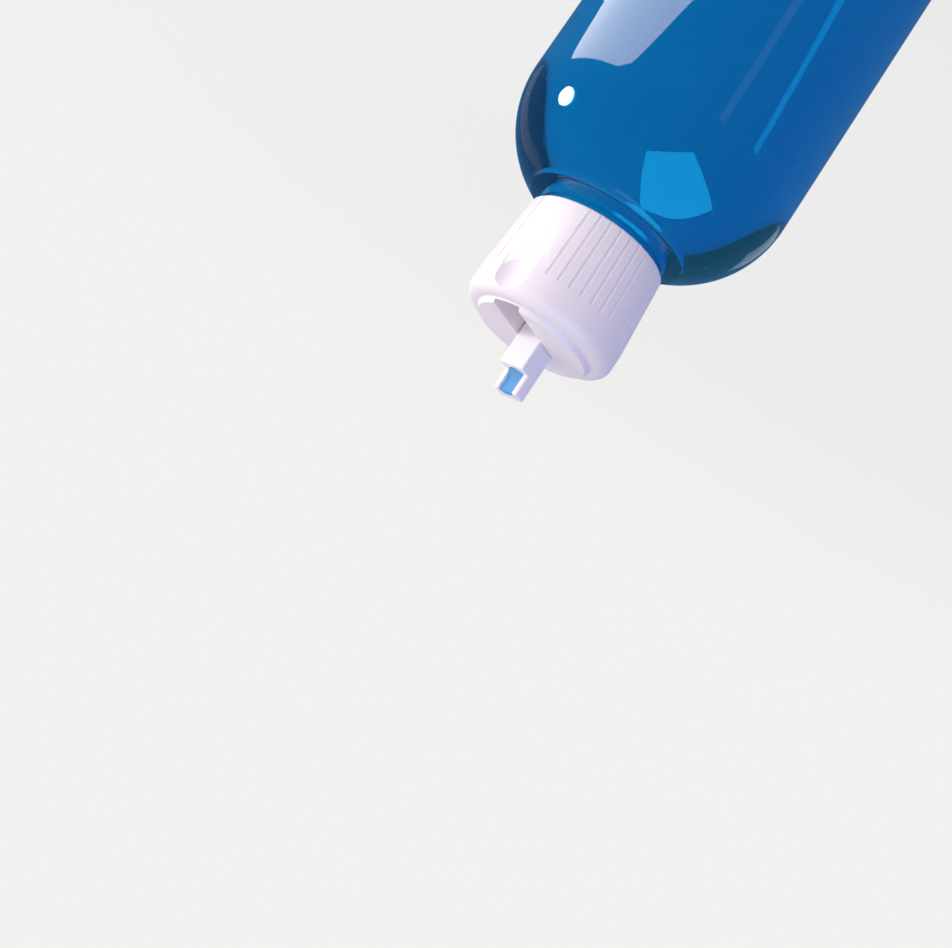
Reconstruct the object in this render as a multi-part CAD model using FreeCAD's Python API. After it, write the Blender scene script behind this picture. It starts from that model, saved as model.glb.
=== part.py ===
import FreeCAD, Part
import math
import os

# Squeeze bottle of syrup with a screw-on closure and a flip-up pouring spout.
# Millimetres. The origin is the centre of the base, +Z runs up the bottle's axis
# and -Y is the front, the side that the spout folds towards.

V = FreeCAD.Vector
UP = V(0, 0, 1)
TOLERANCE = 1e-4

# Bottle body
BODY_R = 30.15
BOTTLE_H = 138.0
WALL = 0.8
BASE_T = 1.2
HEEL_R = 5.0
PUSH_UP_R = 19.0
PUSH_UP_H = 3.0
SHOULDER_R = 22.5

# Neck finish
NECK_R = 12.75
NECK_BORE_R = 10.9
NECK_FOOT_R = 4.5
LIP_ROUND = 0.5
THREAD_DEPTH = 1.07
THREAD_ROOT_W = 2.2
THREAD_CREST_W = 0.9
THREAD_PITCH = 25.4 / 6
THREAD_TURNS = 1.5
THREAD_TOP_GAP = 0.95
THREAD_SUNK = 0.3
BEAD_R = 13.5
BEAD_H = 1.4
BEAD_GAP = 0.4

# Syrup
FILL_BELOW_LIP = 12.0

# Liner
LINER_T = 1.0
LINER_LAND = 0.2
LINER_EDGE_GAP = 0.25

# Closure
SKIRT_LEN = 17.0
SHOULDER_GAP = 1.3
SKIRT_CLEARANCE = 0.33
SKIRT_WALL = 1.2
SKIRT_EDGE_ROUND = 0.3
FLARE = 1.2
FLARE_H = 16.8
TOP_H = 6.5
EDGE_R = 2.7
STEP_H = 1.2
STEP_RUN = 0.6
DISC_ROUND = 0.3
DISC_INSET = 0.75
CAP_THREAD_W = 2.0
CAP_THREAD_GAP = 0.25
FLOOR_T = 1.1
SLOT_SIDE_T = 1.2
POCKET_WALL_T = 1.8
POCKET_ROOF_T = 1.4
POCKET_RIM_T = 0.25
WELL_RIM_GAP = 0.45

# Grip grooves and the plain panel at the front
GROOVE_COUNT = 40
GROOVE_R = 0.4
GROOVE_OUT = 0.1
GROOVE_H = 16.2
PANEL_HALF_DEG = 14.0
PANEL_DEPTH = 0.55
PANEL_TOP = 17.5
SCOOP_R = 5.2
SCOOP_DEPTH = 1.9
SCOOP_Z = 19.0

# Spout
SPOUT_W = 6.0
SPOUT_D = 6.2
SPOUT_LEN = 14.3
SPOUT_BORE_R = 1.9
SPOUT_EDGE = 0.35
BEAK_H = 9.8
BEAK_CUT = 2.9
PIVOT_Y = 2.0
PIN_R = 1.1
PIN_LEN = 1.1
ORIFICE_R = 1.5

# Clearances round the spout
SLOT_GAP = 0.2
STOW_GAP = 0.2
DRUM_GAP = 0.15
PIN_GAP = 0.05
PIN_END_GAP = 0.25
TIP_GAP = 0.26

# Worked out from the sizes above
THREAD_R = NECK_R + THREAD_DEPTH
SKIRT_Z = BOTTLE_H - SKIRT_LEN
DOME_R = (PUSH_UP_R ** 2 + PUSH_UP_H ** 2) / (2 * PUSH_UP_H)
DOME_EDGE_DEG = math.degrees(math.acos(PUSH_UP_R / DOME_R))
SHOULDER_CR = BODY_R - SHOULDER_R
SHOULDER_Z = SKIRT_Z - SHOULDER_GAP - SHOULDER_R
THREAD_Z = BOTTLE_H - THREAD_TOP_GAP - THREAD_ROOT_W / 2 - THREAD_TURNS * THREAD_PITCH
SKIRT_IN_R = THREAD_R + SKIRT_CLEARANCE
SKIRT_R = SKIRT_IN_R + SKIRT_WALL
CAP_RIDGE_BASE_R = SKIRT_IN_R + THREAD_SUNK
CAP_RIDGE_CREST_R = NECK_R + SKIRT_CLEARANCE
COLLAR_R = SKIRT_R + FLARE
DECK_Z = BOTTLE_H + LINER_T
TOP_Z = DECK_Z + TOP_H
LEDGE_Z = TOP_Z - STEP_H
DISC_R = COLLAR_R - EDGE_R - DISC_INSET
DRUM_R = SPOUT_D / 2
PIVOT_Z = TOP_Z - STOW_GAP - DRUM_R
SLOT_W = SPOUT_W + 2 * SLOT_GAP
TIP_Y = PIVOT_Y - SPOUT_LEN
SLOT_END_R = math.hypot(TIP_Y, SPOUT_W / 2) + TIP_GAP
WELL_R = NECK_BORE_R - WELL_RIM_GAP
POCKET_R = WELL_R - POCKET_RIM_T


def at(radius, height):
    """Point of a half profile in the XZ plane."""
    return V(radius, 0, height)


def line(a, b):
    return Part.LineSegment(a, b).toShape()


def arc_about(centre, radius, start_deg, end_deg):
    """Arc in the XZ plane, angles measured from +X towards +Z."""
    angles = [start_deg, (start_deg + end_deg) / 2, end_deg]
    points = []
    for angle in angles:
        a = math.radians(angle)
        points.append(centre + V(radius * math.cos(a), 0, radius * math.sin(a)))
    return Part.Arc(points[0], points[1], points[2]).toShape()


def polyline(points):
    return [line(a, b) for a, b in zip(points[:-1], points[1:])]


def turned(edges):
    """Solid of revolution about Z from a closed half profile."""
    face = Part.Face(Part.Wire(edges))
    return face.revolve(V(0, 0, 0), UP, 360)


def box(x0, x1, y0, y1, z0, z1):
    return Part.makeBox(x1 - x0, y1 - y0, z1 - z0, V(x0, y0, z0))


def extruded_across(points, width):
    """Solid of a YZ outline, centred on X = 0."""
    corners = [V(-width / 2, y, z) for y, z in points]
    corners.append(corners[0])
    face = Part.Face(Part.makePolygon(corners))
    return face.extrude(V(width, 0, 0))


def flat_edges(shape, height):
    """Edges that lie level at one height."""
    found = []
    for edge in shape.Edges:
        low, high = edge.BoundBox.ZMin, edge.BoundBox.ZMax
        if abs(low - height) < TOLERANCE and abs(high - height) < TOLERANCE:
            found.append(edge)
    return found


def helical_ridge(base_r, crest_r, root_w, crest_w, start_z):
    """Ridge of trapezoid section that climbs by the thread's pitch."""
    rise = THREAD_TURNS * THREAD_PITCH
    helix = Part.makeHelix(THREAD_PITCH, rise, base_r)
    helix.translate(V(0, 0, start_z))
    section = [
        at(base_r, start_z - root_w / 2),
        at(crest_r, start_z - crest_w / 2),
        at(crest_r, start_z + crest_w / 2),
        at(base_r, start_z + root_w / 2),
    ]
    section.append(section[0])
    profile = Part.makePolygon(section)
    return Part.Wire(helix.Edges).makePipeShell([profile], True, True)


def flank_width(radius, base_r, crest_r, root_w, crest_w):
    """Width of a ridge's section at one radius."""
    share = (radius - base_r) / (crest_r - base_r)
    return root_w + share * (crest_w - root_w)


def cap_thread_z():
    """Start of the closure's ridge, under the neck's ridge by the thread gap."""
    middle_r = (NECK_R + THREAD_R) / 2
    neck_w = flank_width(middle_r, NECK_R, THREAD_R, THREAD_ROOT_W, THREAD_CREST_W)
    cap_w = flank_width(middle_r, CAP_RIDGE_BASE_R, CAP_RIDGE_CREST_R, CAP_THREAD_W, THREAD_CREST_W)
    return THREAD_Z - (neck_w + cap_w) / 2 - CAP_THREAD_GAP


def bottle_outer():
    """Outer half profile, from the middle of the base to the lip's outer edge."""
    shoulder = at(SHOULDER_CR, SHOULDER_Z)
    foot_r = NECK_R + NECK_FOOT_R
    reach = SHOULDER_R + NECK_FOOT_R
    foot_z = SHOULDER_Z + math.sqrt(reach ** 2 - (foot_r - SHOULDER_CR) ** 2)
    foot = at(foot_r, foot_z)
    meet_deg = math.degrees(math.atan2(foot_z - SHOULDER_Z, foot_r - SHOULDER_CR))
    heel = at(BODY_R - HEEL_R, HEEL_R)
    bead_top = cap_thread_z() - CAP_THREAD_W / 2 - BEAD_GAP
    edges = [
        arc_about(at(0, PUSH_UP_H - DOME_R), DOME_R, 90, DOME_EDGE_DEG),
        line(at(PUSH_UP_R, 0), at(BODY_R - HEEL_R, 0)),
        arc_about(heel, HEEL_R, -90, 0),
        line(at(BODY_R, HEEL_R), at(BODY_R, SHOULDER_Z)),
        arc_about(shoulder, SHOULDER_R, 0, meet_deg),
        arc_about(foot, NECK_FOOT_R, meet_deg - 180, -180),
    ]
    edges += polyline([
        at(NECK_R, foot_z),
        at(NECK_R, bead_top - BEAD_H),
        at(BEAD_R, bead_top - BEAD_H * 0.7),
        at(BEAD_R, bead_top - BEAD_H * 0.3),
        at(NECK_R, bead_top),
        at(NECK_R, BOTTLE_H - LIP_ROUND),
    ])
    edges.append(arc_about(at(NECK_R - LIP_ROUND, BOTTLE_H - LIP_ROUND), LIP_ROUND, 0, 90))
    return edges


def bottle_inner():
    """Inner half profile, from the top of the neck's bore to the middle of the base."""
    shoulder = at(SHOULDER_CR, SHOULDER_Z)
    inner_r = SHOULDER_R - WALL
    meet_z = SHOULDER_Z + math.sqrt(inner_r ** 2 - (NECK_BORE_R - SHOULDER_CR) ** 2)
    meet_deg = math.degrees(math.atan2(meet_z - SHOULDER_Z, NECK_BORE_R - SHOULDER_CR))
    heel_r = HEEL_R - WALL
    heel = at(BODY_R - HEEL_R, BASE_T + heel_r)
    return [
        line(at(NECK_BORE_R, BOTTLE_H), at(NECK_BORE_R, meet_z)),
        arc_about(shoulder, inner_r, meet_deg, 0),
        line(at(BODY_R - WALL, SHOULDER_Z), at(BODY_R - WALL, BASE_T + heel_r)),
        arc_about(heel, heel_r, 0, -90),
        line(at(BODY_R - HEEL_R, BASE_T), at(PUSH_UP_R, BASE_T)),
        arc_about(at(0, BASE_T + PUSH_UP_H - DOME_R), DOME_R, DOME_EDGE_DEG, 90),
    ]


def make_bottle():
    """Blown shell with its neck finish, thread and pushed-up base."""
    edges = bottle_outer()
    edges.append(line(at(NECK_R - LIP_ROUND, BOTTLE_H), at(NECK_BORE_R, BOTTLE_H)))
    edges += bottle_inner()
    edges.append(line(at(0, BASE_T + PUSH_UP_H), at(0, PUSH_UP_H)))
    shell = turned(edges)
    sunk_w = THREAD_ROOT_W + THREAD_SUNK * (THREAD_ROOT_W - THREAD_CREST_W) / THREAD_DEPTH
    ridge = helical_ridge(NECK_R - THREAD_SUNK, THREAD_R, sunk_w, THREAD_CREST_W, THREAD_Z)
    return shell.fuse(ridge)


def make_syrup():
    """Filling, wall to wall, up to its level in the neck."""
    level = BOTTLE_H - FILL_BELOW_LIP
    edges = bottle_inner()
    edges[0] = line(at(NECK_BORE_R, level), edges[0].Vertexes[-1].Point)
    edges.append(line(at(0, BASE_T + PUSH_UP_H), at(0, level)))
    edges.append(line(at(0, level), at(NECK_BORE_R, level)))
    return turned(edges)


def make_liner():
    """Flat sealing ring between the lip and the closure's deck."""
    outer = Part.makeCylinder(SKIRT_IN_R - LINER_EDGE_GAP, LINER_T, V(0, 0, BOTTLE_H))
    hole = Part.makeCylinder(NECK_BORE_R - LINER_LAND, LINER_T, V(0, 0, BOTTLE_H))
    return outer.cut(hole)


def skirt_r_at(height):
    """Outer radius of the closure, height above its open edge."""
    return SKIRT_R + FLARE * min(height / FLARE_H, 1)


def closure_blank():
    """Skirt, rounded shoulder, ledge and raised disc, hollow for the neck."""
    edge_z = LEDGE_Z - EDGE_R
    edges = polyline([
        at(0, DECK_Z),
        at(SKIRT_IN_R, DECK_Z),
        at(SKIRT_IN_R, SKIRT_Z),
        at(SKIRT_R - SKIRT_EDGE_ROUND, SKIRT_Z),
        at(SKIRT_R, SKIRT_Z + SKIRT_EDGE_ROUND),
        at(COLLAR_R, SKIRT_Z + FLARE_H),
        at(COLLAR_R, edge_z),
    ])
    edges.append(arc_about(at(COLLAR_R - EDGE_R, edge_z), EDGE_R, 0, 90))
    edges += polyline([
        at(COLLAR_R - EDGE_R, LEDGE_Z),
        at(DISC_R, LEDGE_Z),
        at(DISC_R - STEP_RUN, TOP_Z),
        at(0, TOP_Z),
        at(0, DECK_Z),
    ])
    return turned(edges)


def cap_thread():
    """Inner ridge that hangs under the neck's ridge."""
    return helical_ridge(CAP_RIDGE_BASE_R, CAP_RIDGE_CREST_R, CAP_THREAD_W, THREAD_CREST_W, cap_thread_z())


def slot_space():
    """Space that the spout turns in, lies in and pours from."""
    drum_room = DRUM_R + DRUM_GAP
    well_y = PIVOT_Y - math.hypot(BEAK_H, DRUM_R) - DRUM_GAP
    beak_z = PIVOT_Z - DRUM_R + BEAK_CUT - DRUM_GAP
    above = TOP_Z + TOP_H
    outline = [
        (PIVOT_Y, PIVOT_Z - drum_room),
        (well_y, PIVOT_Z - drum_room),
        (well_y, beak_z),
        (-COLLAR_R, beak_z),
        (-COLLAR_R, above),
        (PIVOT_Y + drum_room, above),
        (PIVOT_Y + drum_room, PIVOT_Z),
        (PIVOT_Y, PIVOT_Z),
    ]
    trough = extruded_across(outline, SLOT_W)
    drum = Part.makeCylinder(drum_room, SLOT_W, V(-SLOT_W / 2, PIVOT_Y, PIVOT_Z), V(1, 0, 0))
    limit = Part.makeCylinder(SLOT_END_R, BOTTLE_H, V(0, 0, SKIRT_Z))
    sockets = Part.makeCylinder(
        PIN_R + PIN_GAP,
        SPOUT_W + 2 * (PIN_LEN + PIN_END_GAP),
        V(-SPOUT_W / 2 - PIN_LEN - PIN_END_GAP, PIVOT_Y, PIVOT_Z),
        V(1, 0, 0),
    )
    orifice = Part.makeCylinder(ORIFICE_R, PIVOT_Z - SKIRT_Z, V(0, PIVOT_Y, SKIRT_Z))
    return trough.common(limit).fuse([drum, sockets, orifice])


def well_block():
    """Walls of the slot where it hangs below the deck into the neck."""
    floor_z = PIVOT_Z - DRUM_R - DRUM_GAP - FLOOR_T
    front_y = PIVOT_Y - math.hypot(BEAK_H, DRUM_R) - DRUM_GAP - FLOOR_T
    back_y = PIVOT_Y + DRUM_R + DRUM_GAP + FLOOR_T
    half_w = SLOT_W / 2 + SLOT_SIDE_T
    block = box(-half_w, half_w, front_y, back_y, floor_z, DECK_Z + FLOOR_T)
    return block.common(Part.makeCylinder(WELL_R, TOP_H * 2, V(0, 0, DECK_Z - TOP_H)))


def pocket_space():
    """Hollow under the disc, beside and behind the slot, that keeps the walls even."""
    roof_z = TOP_Z - POCKET_ROOF_T
    back_y = PIVOT_Y + DRUM_R + DRUM_GAP + POCKET_WALL_T
    half_w = SLOT_W / 2 + POCKET_WALL_T
    hollow = Part.makeCylinder(POCKET_R, roof_z - DECK_Z, V(0, 0, DECK_Z))
    core = box(-half_w, half_w, -POCKET_R, back_y, DECK_Z, roof_z)
    return hollow.cut(core)


def grip_grooves():
    """Fine grooves round the skirt, left out across the front panel."""
    lean = math.degrees(math.atan2(FLARE, FLARE_H))
    groove = Part.makeCylinder(GROOVE_R, GROOVE_H + GROOVE_R, V(0, 0, -GROOVE_R))
    groove = groove.fuse(Part.makeSphere(GROOVE_R, V(0, 0, GROOVE_H)))
    groove.rotate(V(0, 0, 0), V(0, 1, 0), lean)
    groove.translate(V(SKIRT_R + GROOVE_OUT, 0, SKIRT_Z))
    grooves = []
    for index in range(GROOVE_COUNT):
        angle = (index + 0.5) * 360 / GROOVE_COUNT
        from_front = abs((angle - 270 + 180) % 360 - 180)
        if from_front < PANEL_HALF_DEG:
            continue
        one = groove.copy()
        one.rotate(V(0, 0, 0), UP, angle)
        grooves.append(one)
    return grooves


def front_panel_cut():
    """Tapered recess of the plain panel, deepest under the thumb scoop."""
    half_w = SKIRT_R * math.sin(math.radians(PANEL_HALF_DEG))
    outline = [
        (-SKIRT_R, SKIRT_Z - SKIRT_EDGE_ROUND),
        (-skirt_r_at(PANEL_TOP) + PANEL_DEPTH, SKIRT_Z + PANEL_TOP),
        (-COLLAR_R - EDGE_R, SKIRT_Z + PANEL_TOP),
        (-COLLAR_R - EDGE_R, SKIRT_Z - SKIRT_EDGE_ROUND),
    ]
    return extruded_across(outline, 2 * half_w)


def thumb_scoop():
    centre = V(0, -(COLLAR_R + SCOOP_R - SCOOP_DEPTH), SKIRT_Z + SCOOP_Z)
    return Part.makeSphere(SCOOP_R, centre)


def make_closure():
    """Screw-on closure with the spout's slot, sockets and orifice."""
    solid = closure_blank().cut(pocket_space())
    solid = solid.fuse(well_block()).cut(slot_space())
    solid = solid.fuse(cap_thread())
    solid = solid.cut(grip_grooves() + [front_panel_cut(), thumb_scoop()])
    return solid.makeFillet(DISC_ROUND, flat_edges(solid, TOP_Z))


def make_spout():
    """Flip-up spout on its drum and two pins, its front half cut short."""
    half_w = SPOUT_W / 2
    front = PIVOT_Y - DRUM_R
    back = PIVOT_Y + DRUM_R
    stem = box(-half_w, half_w, front, back, PIVOT_Z, PIVOT_Z + SPOUT_LEN)
    drum = Part.makeCylinder(DRUM_R, SPOUT_W, V(-half_w, PIVOT_Y, PIVOT_Z), V(1, 0, 0))
    body = stem.fuse(drum).removeSplitter()
    beak = box(-SPOUT_W, SPOUT_W, front - 1, front + BEAK_CUT, PIVOT_Z + BEAK_H, PIVOT_Z + 2 * SPOUT_LEN)
    body = body.cut(beak)
    tall = [edge for edge in body.Edges if edge.BoundBox.ZLength > DRUM_R + TOLERANCE]
    tip = flat_edges(body, PIVOT_Z + SPOUT_LEN) + flat_edges(body, PIVOT_Z + BEAK_H)
    body = body.makeFillet(SPOUT_EDGE, tall + tip)
    pin_len = SPOUT_W + 2 * PIN_LEN
    pins = Part.makeCylinder(PIN_R, pin_len, V(-pin_len / 2, PIVOT_Y, PIVOT_Z), V(1, 0, 0))
    bore = Part.makeCylinder(SPOUT_BORE_R, 2 * SPOUT_LEN, V(0, PIVOT_Y, PIVOT_Z - DRUM_R - 1))
    return body.fuse(pins).cut(bore)


def main():
    os.makedirs("parts", exist_ok=True)
    makers = {
        "bottle": make_bottle,
        "syrup": make_syrup,
        "liner": make_liner,
        "closure": make_closure,
        "spout": make_spout,
    }
    for name, make in makers.items():
        shape = make()
        print(name, "solids", len(shape.Solids), "valid", shape.isValid(), "volume", round(shape.Volume, 1))
        shape.exportStep("parts/" + name + ".step")


main()
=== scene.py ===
import math

import bmesh
import bpy
from mathutils import Matrix, Vector


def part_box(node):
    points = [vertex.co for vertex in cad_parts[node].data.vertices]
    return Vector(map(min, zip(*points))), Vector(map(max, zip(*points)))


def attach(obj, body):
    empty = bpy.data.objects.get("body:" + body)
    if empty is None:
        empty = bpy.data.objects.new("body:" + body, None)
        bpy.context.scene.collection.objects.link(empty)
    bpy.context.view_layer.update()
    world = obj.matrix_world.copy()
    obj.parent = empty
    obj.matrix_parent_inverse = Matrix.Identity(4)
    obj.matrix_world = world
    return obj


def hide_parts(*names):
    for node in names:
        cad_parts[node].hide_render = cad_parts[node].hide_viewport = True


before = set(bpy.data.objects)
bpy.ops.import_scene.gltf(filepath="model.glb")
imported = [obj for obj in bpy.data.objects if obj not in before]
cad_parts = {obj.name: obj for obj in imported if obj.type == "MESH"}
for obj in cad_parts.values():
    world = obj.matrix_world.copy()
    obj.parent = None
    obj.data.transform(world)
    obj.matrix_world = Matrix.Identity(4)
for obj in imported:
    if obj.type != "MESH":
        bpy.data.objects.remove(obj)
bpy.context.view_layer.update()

bl_info = {
    "name": "Syrup squeeze bottle",
    "version": (1, 0, 0),
    "blender": (4, 5, 0),
    "location": "View3D > Sidebar > Syrup bottle",
    "description": "Builds the looks of a syrup squeeze bottle round its fixed frame",
    "category": "Object",
}

MM = 0.001
BODY_R, _, LIP_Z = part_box("bottle")[1]
SKIRT_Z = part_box("closure")[0].z
TIP_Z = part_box("spout")[1].z

# Turns the thread's section from lying along the neck to standing out of it.
THREAD_TURN = -math.pi / 2
# Longest run of a half profile, before it is turned round the axis.
LONGEST_RUN = 3 * MM
# Rise of the syrup's edge: share of the bore's radius, share of the meniscus.
MENISCUS = ((0.55, 0.0), (0.8, 0.12), (0.93, 0.45), (1.0, 1.0))
BUBBLE_SEED = 7
# Points of a mesh that lie nearer than this are one.
SEAM = 1e-7

# Where the surroundings turn dark for rays through clear parts, which paints shade on the darker
# side of the clear parts, and where their soft light is cool.
PAINTED_SHADE_SIDE = (0.87, -0.50, 0.0)
COOL_SIDE = (-0.728, 0.420, -0.542)
# Share of the floor's own glow to the camera and through clear parts.
FLOOR_GLOW = 0.72

# Sockets of nodes that have one name for several kinds of value.
MIX_FIRST, MIX_SECOND, MIX_RESULT = 6, 7, 2
RANDOM_LOW, RANDOM_HIGH = 2, 3

# Lamps: radius, azimuth and elevation in degrees and distance from the target, target, colour.
KEY_LAMP = (0.075, (54.5, 10.8, 0.6), (0.004, -0.028, 0.107), (1.0, 0.98, 0.97))
FRONT_LAMP = (0.2, (8, 4, 0.7), (0.0, 0.0, 0.13), (1.0, 0.97, 0.98))

# Bright cards that only gloss shows: corners as azimuth and elevation in degrees from a point on
# the bottle, that point in metres, their distance from it, colour and strength.
CARDS = {
    "long_card": (
        [(22, -16.5), (68, -15.5), (86, -36), (-6, -36)],
        (0.0, -0.029, 0.095), 0.135, (0.98, 0.95, 0.95), 6.4,
    ),
    "side_card": (
        [(97, -24), (112, -20), (115, 30), (101, 26)],
        (0.014, -0.022, 0.108), 0.30, (0.45, 0.60, 1.0), 0.6,
    ),
    "window_card": (
        [(-29, 44), (-62, 18), (-116, 33), (-144, 65), (180, 77)],
        (-0.019, -0.016, 0.110), 0.60, (0.02, 0.55, 1.0), 8.5,
    ),
    "bright_strip": (
        [(-86, -45), (-93, -45), (-108, -13), (-102, -13)],
        (-0.027, -0.013, 0.080), 0.10, (0.02, 0.50, 1.0), 4.5,
    ),
    "faint_strip": (
        [(-58, -45), (-67, -45), (-70, -15), (-63, -15)],
        (-0.0235, -0.019, 0.085), 0.10, (0.30, 0.45, 0.80), 1.3,
    ),
    "back_strip": (
        [(163, -24), (180, -24), (184, -2), (168, -2)],
        (-0.0255, 0.012, 0.106), 0.30, (0.60, 0.80, 1.0), 0.9,
    ),
}


# ---------------------------------------------------------------- properties

def length(name, description, millimetres):
    """A size property, written in millimetres and held in metres."""
    return bpy.props.FloatProperty(
        name=name,
        description=description,
        default=millimetres * MM,
        min=0.0,
        precision=5,
        unit="LENGTH",
    )


def colour(name, description, rgb):
    return bpy.props.FloatVectorProperty(
        name=name,
        description=description,
        default=rgb,
        min=0.0,
        max=1.0,
        subtype="COLOR",
    )


def place(name, description, millimetres):
    """A point in the object's frame, written in millimetres."""
    return bpy.props.FloatVectorProperty(
        name=name,
        description=description,
        default=[part * MM for part in millimetres],
        precision=5,
        subtype="TRANSLATION",
        unit="LENGTH",
    )


def degrees(name, description, value):
    return bpy.props.FloatProperty(
        name=name,
        description=description,
        default=math.radians(value),
        subtype="ANGLE",
    )


def number(name, description, value):
    return bpy.props.FloatProperty(name=name, description=description, default=value, min=0.0)


def count(name, description, value):
    return bpy.props.IntProperty(name=name, description=description, default=value, min=0)


class BottleSizes(bpy.types.PropertyGroup):
    wall: length("Wall", "Thickness of the blown wall", 0.8)
    base: length("Base", "Thickness of the base", 1.2)
    heel: length("Heel", "Outer round between base and body", 5.0)
    push_up_r: length("Push-up radius", "Radius of the base's raised middle", 19.0)
    push_up_h: length("Push-up rise", "Height of the base's raised middle", 3.0)
    shoulder: length("Shoulder", "Round of the shoulder", 22.5)
    shoulder_gap: length("Shoulder gap", "From the shoulder's top to the closure", 1.3)
    neck: length("Neck", "Outer radius of the neck between its threads", 12.75)
    neck_foot: length("Neck foot", "Inner round between shoulder and neck", 4.5)
    bore: length("Bore", "Inner radius of the neck", 10.9)
    lip: length("Lip", "Round of the lip's outer edge", 0.5)
    bead_h: length("Bead", "Height of the half-round ring round the neck", 1.4)
    ring: length("Shoulder ring", "Height of the two fine rings under the closure", 0.22)
    ring_gap: length("Ring gap", "From the closure down to each ring", 1.8)
    bead_drop: length("Bead drop", "From the lip down to the top of the ring", 11.357)
    pitch: length("Pitch", "Rise of the thread in one turn", 25.4 / 6)
    turns: number("Turns", "Turns of the thread", 1.5)
    thread_depth: length("Thread depth", "How far the thread stands out of the neck", 1.07)
    thread_root: length("Thread root", "Width of the thread at the neck", 2.2)
    thread_crest: length("Thread crest", "Width of the thread's crest", 0.9)
    thread_gap: length("Thread gap", "From the lip down to the thread", 0.95)
    around: count("Divisions", "Divisions round the bottle", 216)


class SyrupSizes(bpy.types.PropertyGroup):
    drop: length("Level drop", "From the lip down to the syrup", 12.0)
    wetting: length("Wetting", "Reach into the wall, so that no film of air shows", 0.02)
    meniscus: length("Meniscus", "Rise of the syrup at the wall", 0.7)
    tint: colour("Colour", "Light that one thickness of syrup lets through", (0.0, 0.75, 0.87))
    density: number("Density", "Strength of the dye, per metre", 100.0)
    cloud: colour("Cloud", "Colour of the syrup's own body", (0.02, 0.68, 1.0))
    clearness: number("Clearness", "Share of light that passes through the filling", 0.94)
    mouth_density: number("Mouth density", "Strength of the dye in the mouth, per metre", 120.0)
    mouth_cloud: colour("Mouth cloud", "Colour of the syrup in the mouth", (0.20, 0.52, 0.92))
    mouth_clearness: number("Mouth clearness", "Share of light that passes the mouth", 0.35)
    bubbles: count("Bubbles", "Fine bubbles against the shoulder's inside", 26)
    bubble: length("Bubble", "Largest radius of a bubble", 0.22)


class SpoutSizes(bpy.types.PropertyGroup):
    bore: length("Bore", "Radius of the syrup in the bore", 1.86)
    pivot: length("Pivot", "From the bottle's axis to the pivot", 2.0)
    mouth: length("Mouth", "Length of the half-open mouth", 4.5)


class ClosureColours(bpy.types.PropertyGroup):
    closure: colour("Closure", "Plastic of the closure", (0.84, 0.79, 0.82))
    spout: colour("Spout", "Plastic of the spout", (0.87, 0.85, 0.87))
    foam: colour("Liner", "Foam of the liner", (0.86, 0.85, 0.80))


class StageSizes(bpy.types.PropertyGroup):
    aim: place("Aim", "Point in the middle of the view", (4.42, 14.85, 170.98))
    azimuth: degrees("Azimuth", "Turn of the camera round the bottle", -37.764)
    elevation: degrees("Elevation", "Height angle of the camera", 11.883)
    roll: degrees("Roll", "Turn of the view, which shows the bottle pouring", -146.365)
    distance: length("Distance", "From the camera to its aim", 356.0)
    lens: number("Lens", "Focal length for a sensor 36 mm wide", 66.298)
    key: number("Key", "Power of the round main lamp, in watts", 1.6)
    front: number("Front", "Power of the wide soft lamp in front, in watts", 1.0)
    ambient: number("Ambient", "Strength of the light from all round", 0.92)
    floor: colour("Floor", "Paint of the floor", (0.82, 0.82, 0.81))
    backdrop: colour("Backdrop", "Colour all round", (0.88, 0.89, 0.87))
    # Painted reflection: plain gloss shows the surroundings and the floor in this dark blue, though
    # the camera sees them pale.
    gloss: colour("Gloss", "What plain gloss shows of the surroundings", (0.06, 0.19, 0.40))
    # Painted shade: clear parts show the surroundings in this colour on their darker side, though
    # the camera sees them pale.
    deep: colour("Deep", "What clear parts show on their darker side", (0.45, 0.22, 0.64))
    shade: colour("Shade", "Colour of the soft light", (0.98, 0.90, 0.95))
    cool: colour("Cool shade", "Colour of the soft light on the darker side", (0.20, 0.28, 0.85))


# ------------------------------------------------------------- shader helpers

class Value:
    """A node's output that can be used in expressions. Each operation adds its Math node."""

    def __init__(self, tree, socket):
        self.tree = tree
        self.socket = socket

    def __add__(self, other):
        return self.tree.math("ADD", self, other)

    def __sub__(self, other):
        return self.tree.math("SUBTRACT", self, other)

    def __rsub__(self, other):
        return self.tree.math("SUBTRACT", other, self)

    def __mul__(self, other):
        return self.tree.math("MULTIPLY", self, other)

    def __truediv__(self, other):
        return self.tree.math("DIVIDE", self, other)

    def smooth(self, low, high):
        """0 below low, 1 above high, and a smooth step between."""
        settings = {"interpolation_type": "SMOOTHSTEP"}
        sockets = {"Value": self, "From Min": low, "From Max": high}
        return self.tree.add("ShaderNodeMapRange", settings, sockets)

    __radd__ = __add__
    __rmul__ = __mul__


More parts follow.
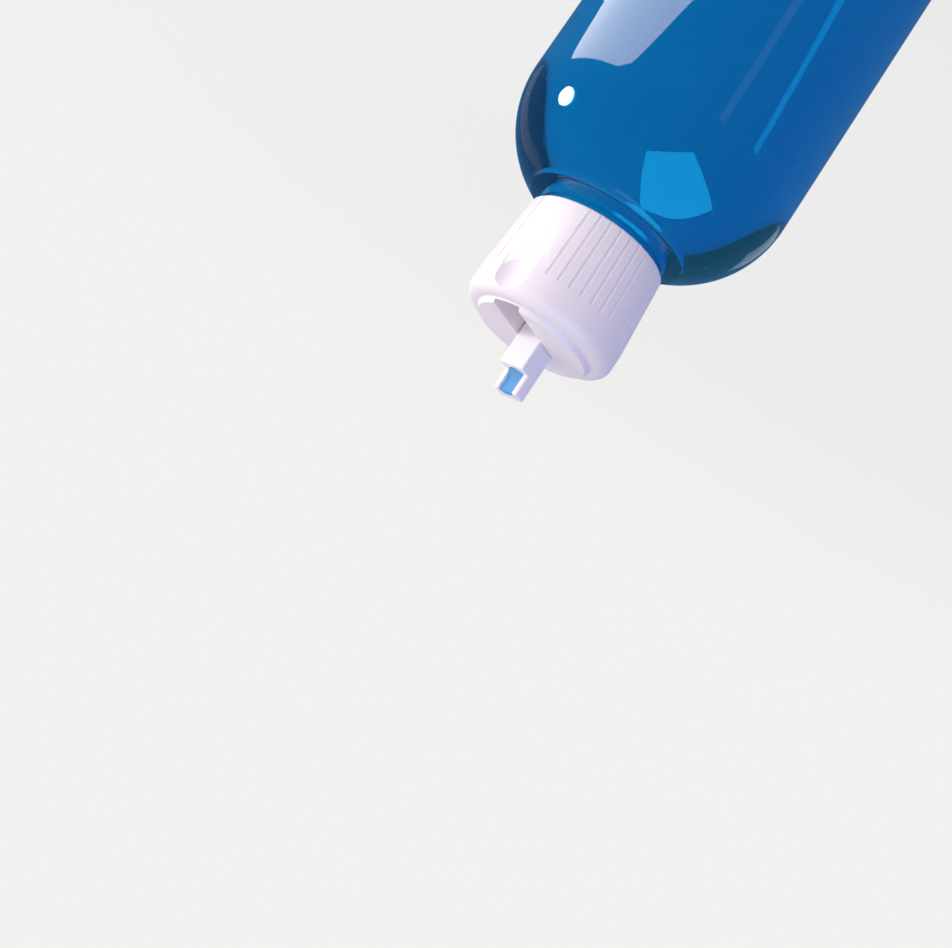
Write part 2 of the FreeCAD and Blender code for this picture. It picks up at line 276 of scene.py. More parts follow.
class Tree:
    """Adds and links the nodes of one node tree."""

    def __init__(self, node_tree):
        self.node_tree = node_tree

    def add(self, kind, settings, sockets, output=0):
        """Adds a node: settings first, then the values or links of its sockets."""
        node = self.node_tree.nodes.new(kind)
        for key, setting in settings.items():
            setattr(node, key, setting)
        for key, value in sockets.items():
            if isinstance(value, Value):
                self.node_tree.links.new(value.socket, node.inputs[key])
            else:
                node.inputs[key].default_value = value
        return Value(self, node.outputs[output])

    def math(self, operation, *values):
        return self.add("ShaderNodeMath", {"operation": operation}, dict(enumerate(values)))

    def noise(self, where, scale, detail=2.0):
        sockets = {"Vector": where, "Scale": scale, "Detail": detail}
        return self.add("ShaderNodeTexNoise", {}, sockets)

    def object_place(self):
        return self.add("ShaderNodeTexCoord", {}, {}, output="Object")

    def mixed(self, factor, first, second):
        """Colour between two colours or colour links."""
        sides = {0: factor, MIX_FIRST: first, MIX_SECOND: second}
        return self.add("ShaderNodeMix", {"data_type": "RGBA"}, sides, output=MIX_RESULT)

    def bump(self, height):
        """Normals of a surface raised by a height in metres."""
        sockets = {"Strength": 1.0, "Distance": 1.0, "Height": height}
        return self.add("ShaderNodeBump", {}, sockets)


def opaque(rgb):
    return (*rgb, 1.0)


def new_material(name):
    """An empty node material and its tree."""
    material = bpy.data.materials.new(name)
    material.use_nodes = True
    material.node_tree.nodes.clear()
    return material, Tree(material.node_tree)


def end_material(tree, surface, volume=None):
    output = tree.node_tree.nodes.new("ShaderNodeOutputMaterial")
    tree.node_tree.links.new(surface.socket, output.inputs["Surface"])
    if volume:
        tree.node_tree.links.new(volume.socket, output.inputs["Volume"])


# ------------------------------------------------------------------ materials

def clear_wall():
    """Clear blown plastic: gentle waves in the wall and a fine haze of scuffs."""
    material, tree = new_material("clear_wall")
    where = tree.object_place()
    waves = tree.noise(where, 38.0)
    scuffs = tree.noise(where, 1400.0, 3.0).smooth(0.62, 0.8)
    shader = tree.add("ShaderNodeBsdfPrincipled", {}, {
        "Base Color": tree.mixed(scuffs, (0.97, 0.985, 1.0, 1.0), (0.90, 0.94, 1.0, 1.0)),
        "Roughness": 0.015 + scuffs * 0.12,
        "IOR": 1.45,
        "Transmission Weight": 1.0,
        "Normal": tree.bump(waves * 0.0001 + scuffs * 0.000002),
    })
    end_material(tree, shader)
    return material


def dyed_syrup(name, tint, density, cloud, clearness):
    """Dyed syrup, whose colour deepens with its thickness, with a little cloud in it."""
    material, tree = new_material(name)
    swirl = tree.noise(tree.object_place(), 60.0, 3.0)
    shader = tree.add("ShaderNodeBsdfPrincipled", {}, {
        "Base Color": tree.mixed(swirl, opaque(cloud), opaque([part ** 0.9 for part in cloud])),
        "Roughness": swirl * 0.02,
        "IOR": 1.40,
        "Specular Tint": (0.0, 0.0, 0.0, 1.0),
        "Transmission Weight": clearness,
    })
    volume = tree.add("ShaderNodeVolumeAbsorption", {}, {"Color": opaque(tint), "Density": density})
    end_material(tree, shader, volume)
    return material


def air():
    """Skin of a bubble in the syrup."""
    material, tree = new_material("air_bubble")
    shine = tree.noise(tree.object_place(), 900.0)
    shader = tree.add("ShaderNodeBsdfPrincipled", {}, {
        "Base Color": (0.95, 0.98, 1.0, 1.0),
        "Roughness": 0.02 + shine * 0.03,
        "IOR": 1.9,
        "Transmission Weight": 0.6,
    })
    end_material(tree, shader)
    return material


def moulded(name, tint, depth):
    """Satin moulded plastic: faint flow marks, a fine grain, a little light let into it."""
    material, tree = new_material(name)
    deep = [part * depth for part in tint]
    where = tree.object_place()
    flow = tree.noise(where, 110.0, 3.0)
    grain = tree.noise(where, 5200.0, 2.0)
    specks = tree.noise(where, 2600.0, 1.0).smooth(0.73, 0.8)
    shade = tree.mixed(flow, opaque(deep), opaque(tint))
    shader = tree.add("ShaderNodeBsdfPrincipled", {}, {
        "Base Color": tree.mixed(specks * 0.25, shade, opaque([part * 0.8 for part in deep])),
        "Roughness": 0.42 + flow * 0.12,
        "IOR": 1.48,
        "Specular IOR Level": 0.28,
        "Subsurface Weight": 0.25,
        "Subsurface Radius": (1.0, 0.55, 0.7),
        "Subsurface Scale": 0.0016,
        "Normal": tree.bump(grain * 0.0000035 + flow * 0.00001),
    })
    end_material(tree, shader)
    return material


def foam(tint):
    """Pressed foam with fine cells."""
    material, tree = new_material("liner_foam")
    cells = tree.add("ShaderNodeTexVoronoi", {}, {"Vector": tree.object_place(), "Scale": 2400.0})
    shader = tree.add("ShaderNodeBsdfPrincipled", {}, {
        "Base Color": tree.mixed(cells, opaque(tint), opaque([part * 0.86 for part in tint])),
        "Roughness": 0.75 + cells * 0.15,
        "Normal": tree.bump(cells * 0.00003),
    })
    end_material(tree, shader)
    return material


# ---------------------------------------------------------------- mesh helpers

def arc_points(centre, radius, start, end, step=3.0):
    """Points of an arc of a half profile, angles in degrees from outwards towards up."""
    pieces = max(2, math.ceil(abs(end - start) / step))
    points = []
    for index in range(pieces + 1):
        angle = math.radians(start + (end - start) * index / pieces)
        points.append((centre[0] + radius * math.cos(angle), centre[1] + radius * math.sin(angle)))
    return points


def divided(points, longest):
    """The same profile with its long runs divided and its repeated points left out."""
    result = [points[0]]
    for (r0, z0), (r1, z1) in zip(points[:-1], points[1:]):
        run = math.hypot(r1 - r0, z1 - z0)
        if run < 1e-8:
            continue
        pieces = math.ceil(run / longest)
        for index in range(1, pieces + 1):
            share = index / pieces
            result.append((r0 + (r1 - r0) * share, z0 + (z1 - z0) * share))
    return result


def profile_mesh(points):
    """A half profile as loose vertices in their order."""
    mesh = bpy.data.meshes.new("profile")
    mesh.from_pydata([(radius, 0.0, height) for radius, height in points], [], [])
    return mesh


def added(name, mesh):
    made = bpy.data.objects.new(name, mesh)
    bpy.context.scene.collection.objects.link(made)
    return made


def grown(name, mesh, group, values):
    """Runs a node group on a mesh and keeps the plain mesh that it gives."""
    made = added(name, mesh)
    modifier = made.modifiers.new("grow", "NODES")
    modifier.node_group = group
    for item in group.interface.items_tree:
        if item.item_type == "SOCKET" and item.in_out == "INPUT" and item.name in values:
            modifier[item.identifier] = values[item.name]
    graph = bpy.context.evaluated_depsgraph_get()
    result = bpy.data.meshes.new_from_object(made.evaluated_get(graph), depsgraph=graph)
    made.modifiers.remove(modifier)
    made.data = result
    result.name = name
    return made


def outward(made):
    """Closes a mesh's seams and turns its faces outwards."""
    bm = bmesh.new()
    bm.from_mesh(made.data)
    bmesh.ops.remove_doubles(bm, verts=bm.verts, dist=SEAM)
    bmesh.ops.dissolve_degenerate(bm, edges=bm.edges, dist=1e-8)
    bmesh.ops.recalc_face_normals(bm, faces=bm.faces)
    bm.to_mesh(made.data)
    bm.free()


def sharp_at(made, limit):
    """Smooth shading, apart from edges that turn by more than a limit in degrees."""
    bm = bmesh.new()
    bm.from_mesh(made.data)
    for face in bm.faces:
        face.smooth = True
    for edge in bm.edges:
        edge.smooth = len(edge.link_faces) == 2 and edge.calc_face_angle(0.0) < math.radians(limit)
    bm.to_mesh(made.data)
    bm.free()


def moulded_copy(node, name, limit):
    """A merged copy of a CAD node with smooth rounds, flat flats and hard edges."""
    made = added(name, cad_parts[node].data.copy())
    made.data.name = name
    made.data.materials.clear()
    outward(made)
    made.data.normals_split_custom_set([(0.0, 0.0, 0.0)] * len(made.data.loops))
    sharp_at(made, limit)
    weighted = made.modifiers.new("flats", "WEIGHTED_NORMAL")
    weighted.keep_sharp = True
    return made


def finish_piece(made, material, body, slot, *nodes):
    """Gives a piece its only material and its body, and hides the nodes that it stands for; its
    slot is not used.
    """
    made.data.materials.clear()
    made.data.materials.append(material)
    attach(made, body)
    if nodes:
        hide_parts(*nodes)


# --------------------------------------------------------------- node groups

class Group(Tree):
    """A geometry node group with named inputs."""

    def __init__(self, name, inputs):
        super().__init__(bpy.data.node_groups.new(name, "GeometryNodeTree"))
        face = self.node_tree.interface
        face.new_socket("Geometry", in_out="INPUT", socket_type="NodeSocketGeometry")
        for label, kind in inputs.items():
            face.new_socket(label, in_out="INPUT", socket_type="NodeSocket" + kind)
        face.new_socket("Geometry", in_out="OUTPUT", socket_type="NodeSocketGeometry")
        self.given = self.node_tree.nodes.new("NodeGroupInput")

    def input(self, label):
        return Value(self, self.given.outputs[label])

    def end(self, geometry):
        """Makes instances real, sets the finish and closes the group."""
        smooth = self.add("GeometryNodeSetShadeSmooth", {}, {"Geometry": geometry})
        real = self.add("GeometryNodeRealizeInstances", {}, {"Geometry": smooth})
        sockets = {"Geometry": real, "Material": self.input("Finish")}
        finished = self.add("GeometryNodeSetMaterial", {}, sockets)
        output = self.node_tree.nodes.new("NodeGroupOutput")
        self.node_tree.links.new(finished.socket, output.inputs["Geometry"])
        return self.node_tree


def turned_group():
    """Turns a half profile round the upright axis."""
    group = Group("turned_wall", {"Divisions": "Int", "Finish": "Material"})
    profile = group.input("Geometry")
    divisions = group.input("Divisions")
    columns = divisions + 1.0
    rows = group.add(
        "GeometryNodeAttributeDomainSize", {"component": "MESH"}, {"Geometry": profile}
    )
    grid = group.add("GeometryNodeMeshGrid", {}, {"Vertices X": rows, "Vertices Y": columns})
    index = group.add("GeometryNodeInputIndex", {}, {})
    row = group.math("FLOOR", (index + 0.5) / columns)
    column = index - row * columns
    point = group.add("GeometryNodeInputPosition", {}, {})
    settings = {"data_type": "FLOAT_VECTOR", "domain": "POINT"}
    sockets = {"Geometry": profile, "Value": point, "Index": row}
    sampled = group.add("GeometryNodeSampleIndex", settings, sockets)
    sockets = {"Vector": sampled, "Angle": column * math.tau / divisions}
    turned = group.add("ShaderNodeVectorRotate", {"rotation_type": "Z_AXIS"}, sockets)
    shaped = group.add("GeometryNodeSetPosition", {}, {"Geometry": grid, "Position": turned})
    sockets = {"Geometry": shaped, "Distance": SEAM}
    closed = group.add("GeometryNodeMergeByDistance", {}, sockets)
    return group.end(closed)


def thread_group():
    """A ridge of trapezoid section that climbs round the upright axis."""
    sizes = {"Radius": "Float", "Turns": "Float", "Rise": "Float", "Start": "Float"}
    section = {"Depth": "Float", "Root": "Float", "Crest": "Float"}
    group = Group("thread_ridge", {**sizes, **section, "Finish": "Material"})
    depth = group.input("Depth")
    middle = group.input("Radius") + depth * 0.5
    spiral = group.add("GeometryNodeCurveSpiral", {}, {
        "Resolution": 120,
        "Rotations": group.input("Turns"),
        "Start Radius": middle,
        "End Radius": middle,
        "Height": group.input("Rise"),
    })
    upright = group.add("GeometryNodeSetCurveNormal", {"mode": "Z_UP"}, {"Curve": spiral})
    ridge = group.add("GeometryNodeCurvePrimitiveQuadrilateral", {"mode": "TRAPEZOID"}, {
        "Height": depth,
        "Bottom Width": group.input("Root"),
        "Top Width": group.input("Crest"),
        "Offset": 0.0,
    })
    sockets = {"Geometry": ridge, "Rotation": (0.0, 0.0, THREAD_TURN)}
    outwards = group.add("GeometryNodeTransform", {}, sockets)
    swept = group.add("GeometryNodeCurveToMesh", {}, {
        "Curve": upright,
        "Profile Curve": outwards,
        "Fill Caps": True,
    })
    lift = group.add("ShaderNodeCombineXYZ", {}, {"Z": group.input("Start")})
    sockets = {"Geometry": swept, "Translation": lift}
    raised = group.add("GeometryNodeTransform", {}, sockets)
    return group.end(raised)


def bubble_group():
    """Fine bubbles spread over a surface, on a fixed seed."""
    inputs = {"Density": "Float", "Largest": "Float", "Seed": "Int", "Finish": "Material"}
    group = Group("fine_bubbles", inputs)
    seed = group.input("Seed")
    points = group.add("GeometryNodeDistributePointsOnFaces", {}, {
        "Mesh": group.input("Geometry"),
        "Density": group.input("Density"),
        "Seed": seed,
    })
    sockets = {"Radius": group.input("Largest"), "Subdivisions": 3}
    ball = group.add("GeometryNodeMeshIcoSphere", {}, sockets)
    sockets = {RANDOM_LOW: 0.25, RANDOM_HIGH: 1.0, "Seed": seed}
    size = group.add("FunctionNodeRandomValue", {"data_type": "FLOAT"}, sockets)
    sockets = {"Points": points, "Instance": ball, "Scale": size}
    bubbles = group.add("GeometryNodeInstanceOnPoints", {}, sockets)
    return group.end(bubbles)


# ------------------------------------------------------------------- profiles

def shoulder_middle(sizes):
    """Radius and height of the middle of the shoulder's round."""
    return BODY_R - sizes.shoulder, SKIRT_Z - sizes.shoulder_gap - sizes.shoulder


def push_up_dome(sizes):
    """Radius of the base's raised middle, and the angle of its edge in degrees."""
    dome_r = (sizes.push_up_r ** 2 + sizes.push_up_h ** 2) / (2 * sizes.push_up_h)
    return dome_r, math.degrees(math.acos(sizes.push_up_r / dome_r))


def outer_profile(sizes):
    """Middle of the base, heel, body, shoulder, neck and its ring, up to the lip."""
    shoulder_r, shoulder_z = shoulder_middle(sizes)
    dome_r, dome_edge = push_up_dome(sizes)
    foot_r = sizes.neck + sizes.neck_foot
    reach = sizes.shoulder + sizes.neck_foot
    foot_z = shoulder_z + math.sqrt(reach ** 2 - (foot_r - shoulder_r) ** 2)
    meet = math.degrees(math.atan2(foot_z - shoulder_z, foot_r - shoulder_r))
    bead_r = sizes.bead_h / 2
    bead_z = LIP_Z - sizes.bead_drop - bead_r
    ring_heights = [SKIRT_Z - sizes.ring_gap, SKIRT_Z - 2 * sizes.ring_gap]
    points = arc_points((0.0, sizes.push_up_h - dome_r), dome_r, 90, dome_edge, 1.0)
    points += arc_points((BODY_R - sizes.heel, sizes.heel), sizes.heel, -90, 0)
    points += arc_points((shoulder_r, shoulder_z), sizes.shoulder, 0, meet, 1.5)
    points += arc_points((foot_r, foot_z), sizes.neck_foot, meet - 180, -180, 1.5)
    points = ringed(points, ring_heights, sizes.ring)
    points += arc_points((sizes.neck, bead_z), bead_r, -90, 90, 12.0)
    points += arc_points((sizes.neck - sizes.lip, LIP_Z - sizes.lip), sizes.lip, 0, 90, 10.0)
    return points


def ringed(points, heights, ring):
    """The profile with a fine rounded ring at each height, divided finely near it."""
    reach, fine_step, whole_run, spread = 1.2 * MM, 0.1 * MM, 1.0, 0.28 * MM
    outwards, upwards = 0.5, 0.8
    result = [points[0]]
    for before, after in zip(points[:-1], points[1:]):
        near = min(abs(after[1] - middle) for middle in heights) < reach
        result += divided([before, after], fine_step if near else whole_run)[1:]
    swollen = []
    for radius, height in result:
        swell = ring * sum(math.exp(-((height - middle) / spread) ** 2) for middle in heights)
        swollen.append((radius + outwards * swell, height + upwards * swell))
    return swollen


def inner_profile(sizes, top, grow=0.0):
    """From a height in the bore down to the middle of the base's inside, grown into the wall."""
    shoulder_r, shoulder_z = shoulder_middle(sizes)
    dome_r, dome_edge = push_up_dome(sizes)
    inner_r = sizes.shoulder - sizes.wall + grow
    bore = sizes.bore + grow
    meet_z = shoulder_z + math.sqrt(inner_r ** 2 - (bore - shoulder_r) ** 2)
    meet = math.degrees(math.atan2(meet_z - shoulder_z, bore - shoulder_r))
    floor_z = sizes.base - grow
    heel = sizes.heel - sizes.wall
    points = [(bore, top)]
    points += arc_points((shoulder_r, shoulder_z), inner_r, meet, 0, 1.5)
    points += arc_points((BODY_R - sizes.heel, sizes.base + heel), heel + grow, 0, -90)
    points += arc_points((0.0, floor_z + sizes.push_up_h - dome_r), dome_r, dome_edge, 90, 1.0)
    return points


# ------------------------------------------------------------------ operators

class BuildBottle(bpy.types.Operator):
    """Clear blown bottle with its neck ring and thread"""
    bl_idname = "syrup_bottle.bottle"
    bl_label = "Bottle"

    def execute(self, context):
        sizes = context.scene.bottle_sizes
        clear = clear_wall()
        lip_edge = [(sizes.bore, LIP_Z)]
        profile = outer_profile(sizes) + lip_edge + inner_profile(sizes, LIP_Z - sizes.lip)
        values = {"Divisions": sizes.around, "Finish": clear}
        half = profile_mesh(divided(profile, LONGEST_RUN))
        wall = grown("bottle_wall", half, turned_group(), values)
        outward(wall)
        sharp_at(wall, 50)
        finish_piece(wall, clear, "bottle", "clear_shell", "bottle")
        rise = sizes.turns * sizes.pitch
        sunk = 0.03 * MM
        values = {
            "Radius": sizes.neck - sunk,
            "Turns": sizes.turns,
            "Rise": rise,
            "Start": LIP_Z - sizes.thread_gap - sizes.thread_root / 2 - rise,
            "Depth": sizes.thread_depth + sunk,
            "Root": sizes.thread_root,
            "Crest": sizes.thread_crest,
            "Finish": clear,
        }
        ridge = grown("neck_thread", profile_mesh([]), thread_group(), values)
        outward(ridge)
        sharp_at(ridge, 40)
        finish_piece(ridge, clear, "bottle", "clear_shell")
        return {"FINISHED"}


class BuildSyrup(bpy.types.Operator):
    """Blue syrup with its fine bubbles"""
    bl_idname = "syrup_bottle.syrup"
    bl_label = "Syrup"

    def execute(self, context):
        sizes = context.scene.bottle_sizes
        filling = context.scene.syrup_sizes
        syrup = dyed_syrup(
            "blue_syrup", filling.tint, filling.density, filling.cloud, filling.clearness
        )
        level = LIP_Z - filling.drop
        bore = sizes.bore + filling.wetting
        profile = [(0.0, level)]
        profile += [(bore * out, level + filling.meniscus * rise) for out, rise in MENISCUS]
        profile += inner_profile(sizes, level - filling.meniscus, filling.wetting)
        values = {"Divisions": sizes.around, "Finish": syrup}
        half = profile_mesh(divided(profile, LONGEST_RUN))
        fill = grown("syrup_filling", half, turned_group(), values)
        outward(fill)
        sharp_at(fill, 50)
        finish_piece(fill, syrup, "bottle", "blue_syrup", "syrup")
        inner_r = sizes.shoulder - sizes.wall - filling.bubble
        top, bottom = 70, -20
        band = arc_points(shoulder_middle(sizes), inner_r, top, bottom)
        area = math.tau * BODY_R * sizes.shoulder * math.radians(top - bottom)
        air_skin = air()
        values = {"Divisions": 64, "Finish": air_skin}
        base = grown("bubble_band", profile_mesh(band), turned_group(), values)
        values = {
            "Density": filling.bubbles / area,
            "Largest": filling.bubble,
            "Seed": BUBBLE_SEED,
            "Finish": air_skin,
        }
        bubbles = grown("syrup_bubbles", base.data, bubble_group(), values)
        bpy.data.objects.remove(base)
        finish_piece(bubbles, air_skin, "bottle", "blue_syrup")
        return {"FINISHED"}


class BuildClosure(bpy.types.Operator):
    """Ribbed screw closure and the liner under it"""
    bl_idname = "syrup_bottle.closure"
    bl_label = "Closure"

    def execute(self, context):
        colours = context.scene.closure_colours
        plastic = moulded("closure_plastic", colours.closure, 0.965)
        cap = moulded_copy("closure", "ribbed_closure", 24)
        finish_piece(cap, plastic, "closure", "white_closure", "closure")
        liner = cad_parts["liner"]
        liner.data.materials.clear()
        liner.data.materials.append(None)
        liner.material_slots[0].link = "OBJECT"
        liner.material_slots[0].material = foam(colours.foam)
        return {"FINISHED"}


def mouth_syrup(sizes):
    """Syrup that fills the bore and runs down the open half of the mouth."""
    rows, around = 40, 33
    below_mouth, below_tip, mouth_edge = 4 * MM, 0.15 * MM, 0.3 * MM
    fallen, fall_rate, fall_curve = 1.25, 3.2, 0.6
    bore = sizes.bore
    mouth_z = TIP_Z - sizes.mouth
    low = mouth_z - below_mouth
    high = TIP_Z - below_tip
    bm = bmesh.new()
    rings = []
    for row in range(rows + 1):
        height = low + (high - low) * row / rows
        run = max(0.0, (height - (mouth_z - mouth_edge)) / sizes.mouth)
        front = -bore + bore * fallen * min(1.0, run * fall_rate) ** fall_curve
        half = math.acos(max(-1.0, min(1.0, front / bore)))
        ring = []
        for index in range(around):
            angle = math.pi / 2 - half + 2 * half * index / around
            ring.append((bore * math.cos(angle), sizes.pivot + bore * math.sin(angle), height))
        rings.append([bm.verts.new(point) for point in ring])
    for lower, upper in zip(rings[:-1], rings[1:]):
        for index in range(around):
            after = (index + 1) % around
            bm.faces.new((lower[index], lower[after], upper[after], upper[index]))
    bm.faces.new(rings[0])
    bm.faces.new(rings[-1])
    bmesh.ops.recalc_face_normals(bm, faces=bm.faces)
    mesh = bpy.data.meshes.new("spout_syrup")
    bm.to_mesh(mesh)
    bm.free()
    made = added("spout_syrup", mesh)
    sharp_at(made, 50)
    return made


class BuildSpout(bpy.types.Operator):
    """Flip-up spout with the syrup left in its bore"""
    bl_idname = "syrup_bottle.spout"
    bl_label = "Spout"

    def execute(self, context):
        colours = context.scene.closure_colours
        plastic = moulded("spout_plastic", colours.spout, 0.97)
        spout = moulded_copy("spout", "flip_spout", 24)
        finish_piece(spout, plastic, "spout", "white_spout", "spout")
        filling = context.scene.syrup_sizes
        cloud, clearness = filling.mouth_cloud, filling.mouth_clearness
        syrup = dyed_syrup("mouth_syrup", filling.tint, filling.mouth_density, cloud, clearness)
        finish_piece(mouth_syrup(context.scene.spout_sizes), syrup, "spout", "blue_syrup")
        return {"FINISHED"}


class BuildStage(bpy.types.Operator):
    """Camera, floor, pale surroundings, lamps and the bright cards that show in the gloss"""
    bl_idname = "syrup_bottle.stage"
    bl_label = "Stage"

    def execute(self, context):
        stage = context.scene.stage_sizes
        add_camera(context.scene, stage)
        add_floor(stage)
        add_surroundings(context.scene, stage)
        add_lamp("key_lamp", stage.key, *KEY_LAMP)
        front = add_lamp("front_lamp", stage.front, *FRONT_LAMP)
        front.visible_glossy = False
        front.visible_transmission = False
        for name, card in CARDS.items():
            add_card(name, *card)
        context.scene.view_settings.view_transform = "Standard"
        return {"FINISHED"}


def direction(azimuth, elevation):
    """Direction at an azimuth from the front and an elevation, in radians."""
    level = math.cos(elevation)
    return Vector((math.sin(azimuth) * level, -math.cos(azimuth) * level, math.sin(elevation)))


def turned_from(azimuth, elevation, distance):
    """Offset at an azimuth from the front and an elevation, in degrees."""
    return distance * direction(math.radians(azimuth), math.radians(elevation))


def add_camera(scene, stage):
    """Camera on its aim, turned about its own line of view."""
    camera = bpy.data.objects.new("camera", bpy.data.cameras.new("camera"))
    scene.collection.objects.link(camera)
    back = direction(stage.azimuth, stage.elevation)
    level = Vector((math.cos(stage.azimuth), math.sin(stage.azimuth), 0.0))
    right = level * math.cos(stage.roll) + back.cross(level) * math.sin(stage.roll)
    turn = Matrix((right, back.cross(right), back)).transposed().to_4x4()
    camera.matrix_world = Matrix.Translation(Vector(stage.aim) + back * stage.distance) @ turn
    camera.data.sensor_width = 36.0
    camera.data.lens = stage.lens
    camera.data.clip_start = 0.01
    camera.data.clip_end = 60.0
    scene.camera = camera


def add_floor(stage):
    """Round pale floor that fades into the surroundings, and still shows the shadow; through clear
    parts it shows painted shade, and in gloss a painted dark reflection.
    """
    bm = bmesh.new()
    bmesh.ops.create_circle(bm, cap_ends=True, segments=96, radius=3.0)
    mesh = bpy.data.meshes.new("floor")
    bm.to_mesh(mesh)
    bm.free()
    floor = added("floor", mesh)
    material, tree = new_material("floor_paint")
    where = tree.object_place()
    reach = tree.add("ShaderNodeVectorMath", {"operation": "LENGTH"}, {0: where}, output="Value")
    mottle = tree.noise(where, 14.0, 4.0)
    paint = tree.mixed(mottle, opaque(stage.floor), opaque([part * 0.975 for part in stage.floor]))
    matt = tree.add("ShaderNodeBsdfPrincipled", {}, {
        "Base Color": paint,
        "Roughness": 0.7 + mottle * 0.1,
        "Specular IOR Level": 0.2,
    })
    open_air = tree.add("ShaderNodeBsdfTransparent", {}, {})
    camera, glossy, through = ray_kinds(tree)
    outwards = tree.add("ShaderNodeVectorMath", {"operation": "NORMALIZE"}, {0: where})
    # Painted shade: seen through clear parts, the floor turns to the deep colour on the darker
    # side.
    painted_shade_side = towards(tree, outwards, PAINTED_SHADE_SIDE).smooth(-0.1, 0.6)
    seen = tree.mixed(through * painted_shade_side, opaque(stage.backdrop), opaque(stage.deep))
    # Painted reflection: plain gloss sees the floor dark blue.
    seen = tree.mixed(glossy, seen, opaque(stage.gloss))
    pale = tree.add("ShaderNodeEmission", {}, {"Color": seen, "Strength": 1.0})
    share = tree.math("MINIMUM", (camera + through) * FLOOR_GLOW + glossy, 1.0)
    shaded = tree.add("ShaderNodeMixShader", {}, {0: share, 1: matt, 2: pale})
    fade = reach.smooth(0.25, 0.7)
    end_material(tree, tree.add("ShaderNodeMixShader", {}, {0: fade, 1: shaded, 2: open_air}))
    mesh.materials.append(material)


def ray_kinds(tree):
    """Whether a ray comes from the camera, from plain gloss, or through a clear part."""
    camera = tree.add("ShaderNodeLightPath", {}, {}, output="Is Camera Ray")
    outputs = camera.socket.node.outputs
    through = Value(tree, outputs["Is Transmission Ray"])
    return camera, Value(tree, outputs["Is Glossy Ray"]) * (1 - through), through


def towards(tree, where, direction):
    """How far a direction of the surroundings agrees with a given one."""
    sides = {0: where, 1: direction}
    return tree.add("ShaderNodeVectorMath", {"operation": "DOT_PRODUCT"}, sides, output="Value")


def add_surroundings(scene, stage):
    """Pale to the camera and through clear parts, with painted shade on their darker side; dimmer
    in gloss, where a dark blue reflection is painted; softer as a light.
    """
    world = bpy.data.worlds.new("surroundings")
    world.use_nodes = True
    world.node_tree.nodes.clear()
    scene.world = world
    tree = Tree(world.node_tree)
    camera, glossy, through = ray_kinds(tree)
    where = tree.add("ShaderNodeTexCoord", {}, {}, output="Generated")
    # Painted shade: seen through clear parts, the surroundings turn to the deep colour on the
    # darker side.
    painted_shade_side = towards(tree, where, PAINTED_SHADE_SIDE).smooth(0.0, 0.5)
    cool_side = towards(tree, where, COOL_SIDE).smooth(0.0, 0.75)
    clear_view_with_painted_shade = tree.mixed(painted_shade_side, opaque(stage.backdrop), opaque(stage.deep))
    seen = tree.mixed(camera, clear_view_with_painted_shade, opaque(stage.backdrop))
    # Painted reflection: plain gloss sees the surroundings dark blue.
    seen = tree.mixed(glossy, seen, opaque(stage.gloss))
    soft = tree.mixed(cool_side, opaque(stage.shade), opaque(stage.cool))
    shown = tree.math("MINIMUM", camera + glossy + through, 1.0)
    pale = tree.add("ShaderNodeBackground", {}, {"Color": seen, "Strength": 1.0})
    light = tree.add("ShaderNodeBackground", {}, {"Color": soft, "Strength": stage.ambient})
    mixed = tree.add("ShaderNodeMixShader", {}, {0: shown, 1: light, 2: pale})
    output = world.node_tree.nodes.new("ShaderNodeOutputWorld")
    world.node_tree.links.new(mixed.socket, output.inputs["Surface"])


def aimed(made, offset, target):
    """Puts an object at an offset from a target, facing it."""
    made.location = Vector(target) + offset
    made.rotation_mode = "QUATERNION"
    made.rotation_quaternion = offset.to_track_quat("Z", "Y")


def add_lamp(name, power, radius, place_from, target, rgb):
    lamp = bpy.data.lights.new(name, "AREA")
    lamp.shape = "DISK"
    lamp.size = 2 * radius
    lamp.energy = power
    lamp.color = rgb
    made = bpy.data.objects.new(name, lamp)
    bpy.context.scene.collection.objects.link(made)
    aimed(made, turned_from(*place_from), target)
    made.visible_camera = False
    return made


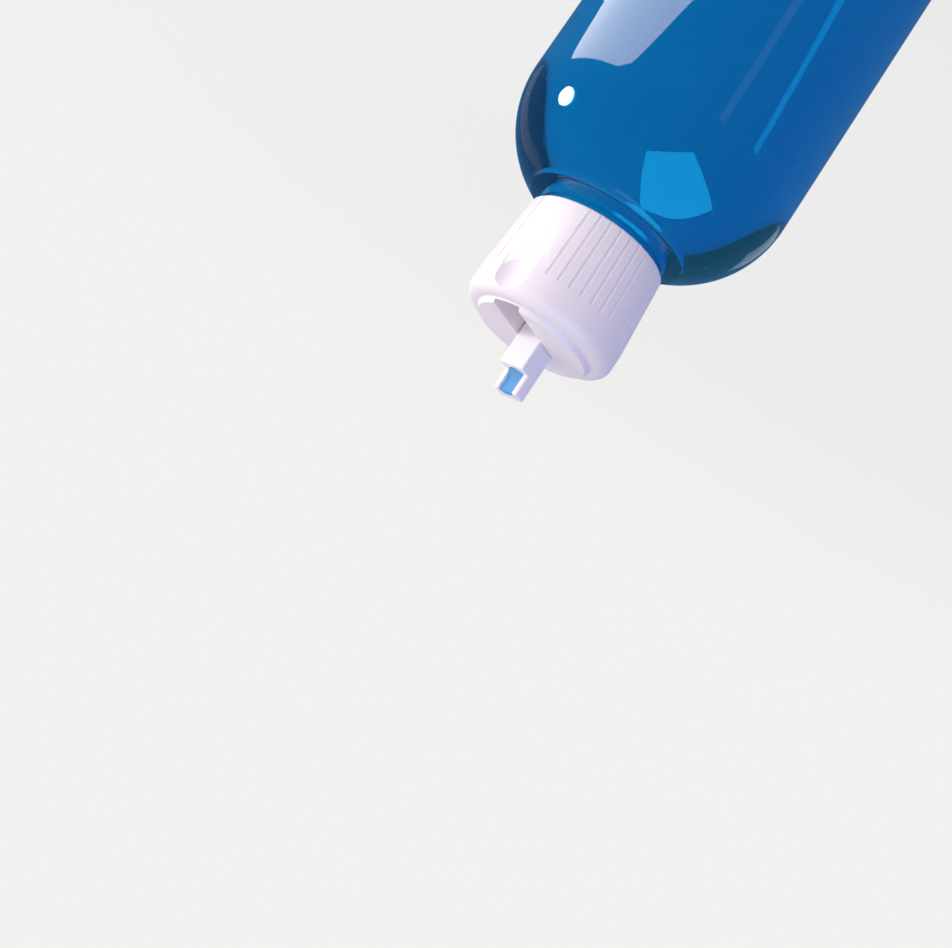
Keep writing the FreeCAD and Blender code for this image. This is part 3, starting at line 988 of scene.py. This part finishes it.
def add_card(name, corners, origin, distance, rgb, strength):
    """A bright card that only gloss shows, as a studio's soft box does."""
    bm = bmesh.new()
    places = [Vector(origin) + turned_from(*corner, distance) for corner in corners]
    bm.faces.new([bm.verts.new(spot) for spot in places])
    mesh = bpy.data.meshes.new(name)
    bm.to_mesh(mesh)
    bm.free()
    card = added(name, mesh)
    material, tree = new_material(name + "_light")
    glow = tree.add("ShaderNodeEmission", {}, {"Color": opaque(rgb), "Strength": strength})
    end_material(tree, glow)
    mesh.materials.append(material)
    card.visible_camera = False
    card.visible_diffuse = False
    card.visible_transmission = False
    card.visible_shadow = False


class SyrupBottlePanel(bpy.types.Panel):
    """Sizes, colours and steps of the syrup bottle"""
    bl_idname = "VIEW3D_PT_syrup_bottle"
    bl_label = "Syrup bottle"
    bl_space_type = "VIEW_3D"
    bl_region_type = "UI"
    bl_category = "Syrup bottle"

    def draw(self, context):
        for operator in OPERATORS:
            self.layout.operator(operator.bl_idname)
        for name, group in GROUPS.items():
            box = self.layout.box()
            box.label(text=name.replace("_", " ").capitalize())
            for key in group.__annotations__:
                box.prop(getattr(context.scene, name), key)


GROUPS = {
    "bottle_sizes": BottleSizes,
    "syrup_sizes": SyrupSizes,
    "spout_sizes": SpoutSizes,
    "closure_colours": ClosureColours,
    "stage_sizes": StageSizes,
}
OPERATORS = [BuildStage, BuildBottle, BuildSyrup, BuildClosure, BuildSpout]


def register():
    for made in [*GROUPS.values(), *OPERATORS, SyrupBottlePanel]:
        bpy.utils.register_class(made)
    for name, group in GROUPS.items():
        setattr(bpy.types.Scene, name, bpy.props.PointerProperty(type=group))


def unregister():
    for name in GROUPS:
        delattr(bpy.types.Scene, name)
    for made in reversed([*GROUPS.values(), *OPERATORS, SyrupBottlePanel]):
        bpy.utils.unregister_class(made)


def main():
    """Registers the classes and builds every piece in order."""
    register()
    bpy.ops.syrup_bottle.stage()
    bpy.ops.syrup_bottle.bottle()
    bpy.ops.syrup_bottle.syrup()
    bpy.ops.syrup_bottle.closure()
    bpy.ops.syrup_bottle.spout()


if __name__ == "__main__":
    main()
